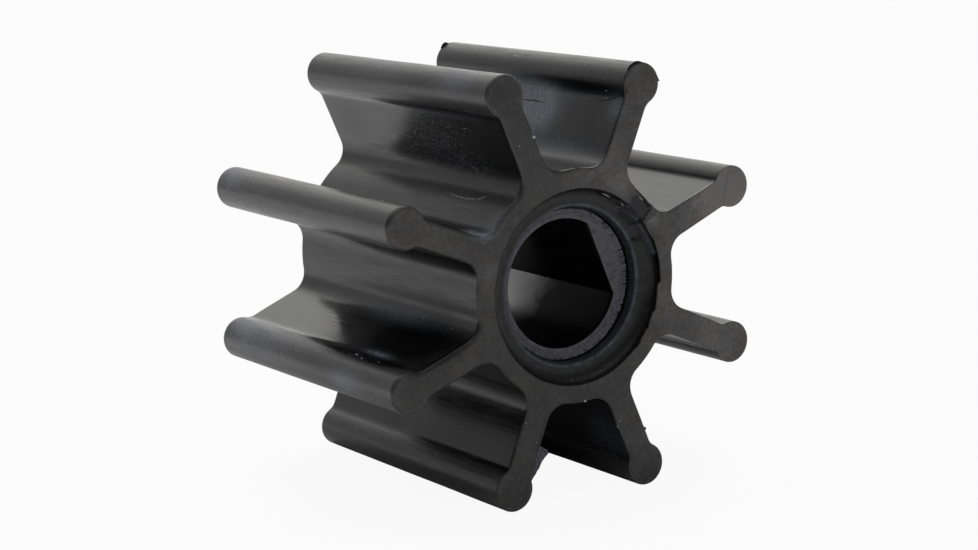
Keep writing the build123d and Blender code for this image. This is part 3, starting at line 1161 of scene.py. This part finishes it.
CAMERA_AZIMUTH = -33.415
CAMERA_ELEVATION = 10.437
CAMERA_ROLL = -1.323
CAMERA_DISTANCE = 11.8317 * TIP_CENTRE
CAMERA_TARGET = Vector((0.0438, 0, -0.0649)) * TIP_CENTRE
LENS = 87.43

# Soft surround: a cool base colour, and broad warm lights as (azimuth, elevation, edge angle, core angle,
# gain), where azimuth 0 is the front (-Y) and 90 is +X
SURROUND = (0.146, 0.150, 0.166)
LIGHT_COLOUR = (1.0, 0.985, 0.955)
SOFT_LIGHTS = (
    (165, 0, 60, 36, 0.66), (154, 26, 38, 14, 0.5), (180, 84, 50, 20, 0.95), (48, -5, 75, 20, 0.10),
)


def direction(azimuth, elevation):
    az, el = radians(azimuth), radians(elevation)
    return Vector((sin(az) * cos(el), -cos(az) * cos(el), sin(el)))


def make_camera():
    """A long lens to the left of the front and a little above the hub."""
    back = direction(CAMERA_AZIMUTH, CAMERA_ELEVATION)
    right = Vector((0, 0, 1)).cross(back).normalized()
    up = back.cross(right)
    turn = Matrix((right, up, back)).transposed() @ Matrix.Rotation(radians(CAMERA_ROLL), 3, "Z")
    data = bpy.data.cameras.new("camera")
    data.lens = LENS
    data.sensor_width = 36
    data.clip_start = 0.01
    data.clip_end = 100
    camera = bpy.data.objects.new("camera", data)
    place = Matrix.Translation((CAMERA_TARGET + back * CAMERA_DISTANCE) * MM)
    camera.matrix_world = place @ turn.to_4x4()
    bpy.context.scene.collection.objects.link(camera)
    bpy.context.scene.camera = camera


def make_world():
    """Soft lights for the object, and white where the camera sees past it."""
    world = bpy.data.worlds.new("studio")
    bpy.context.scene.world = world
    g = Graph(world)
    toward = g.new("TexCoord", "Generated")
    lobes = []
    for azimuth, elevation, edge, core, gain in SOFT_LIGHTS:
        centre = direction(azimuth, elevation)
        facing = g.new("VectorMath", "Value", {0: toward, 1: centre}, operation="DOT_PRODUCT")
        lobes.append(g.ramp(facing, cos(radians(edge)), cos(radians(core)), 0, gain))
    lights = g.new("VectorMath", inputs={0: LIGHT_COLOUR, "Scale": g.plus(*lobes)}, operation="SCALE")
    lit = g.new("VectorMath", inputs={0: SURROUND, 1: lights}, operation="ADD")
    seen = g.tint(lit, g.new("LightPath", "Is Camera Ray"), (1, 1, 1))
    g.put(g.nodes["Background"], "Color", seen)


# The floor glows to the camera but keeps its shadow, and gleams in reflections away from the object
FLOOR_SIZE = 3.0
FLOOR_COLOUR = (0.88, 0.88, 0.88)
FLOOR_ROUGHNESS = 0.9
FLOOR_GLOW = 0.93
FLOOR_GLEAM = 1.05
FLOOR_NEAR = 0.045
FLOOR_FAR = 0.085


def make_floor():
    low = cad_box[0][2]
    corners = [(x * FLOOR_SIZE, y * FLOOR_SIZE, low) for x, y in ((-1, -1), (1, -1), (1, 1), (-1, 1))]
    mesh = bpy.data.meshes.new("floor")
    mesh.from_pydata(corners, [], [(0, 1, 2, 3)])
    floor = bpy.data.objects.new("floor", mesh)
    bpy.context.scene.collection.objects.link(floor)
    paper = bpy.data.materials.new("white_paper")
    g = Graph(paper)
    shader = g.nodes["Principled BSDF"]
    g.put(shader, "Base Color", (*FLOOR_COLOUR, 1))
    g.put(shader, "Roughness", FLOOR_ROUGHNESS)
    away = g.new("VectorMath", "Value", {0: g.new("TexCoord", "Object")}, operation="LENGTH")
    gleam = g.ramp(away, FLOOR_NEAR, FLOOR_FAR, 0, FLOOR_GLEAM)
    level = g.plus(
        g.times(g.new("LightPath", "Is Camera Ray"), FLOOR_GLOW),
        g.times(g.new("LightPath", "Is Glossy Ray"), gleam),
    )
    white = g.new("MixShader", inputs={0: level, 1: shader.outputs[0], 2: g.new("Emission")})
    g.put(g.nodes["Material Output"], "Surface", white)
    mesh.materials.append(paper)


rubber = make_rubber([rubber_material()])
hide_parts("rubber_impeller")
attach(rubber, "root")

marks = make_marks([
    plain_material("torn_shadow", (0.0012, 0.0012, 0.0014), 0.5, 0.7),
    plain_material("pale_rubber", (0.075, 0.08, 0.095), 0.6, 0.35),
    plain_material("dust_specks", (0.7, 0.71, 0.74), 0.2, 0.6),
    plain_material("grit_grains", (0.24, 0.25, 0.29), 0.5, 0.6),
    plain_material("sheen_lines", (0.45, 0.445, 0.44), 0.4, 0.35),
])
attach(marks, "root")

insert = make_insert([insert_face_material(), insert_bore_material()])
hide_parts("drive_insert")
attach(insert, "root")

make_camera()
make_world()
make_floor()
bpy.context.scene.view_settings.view_transform = "Standard"
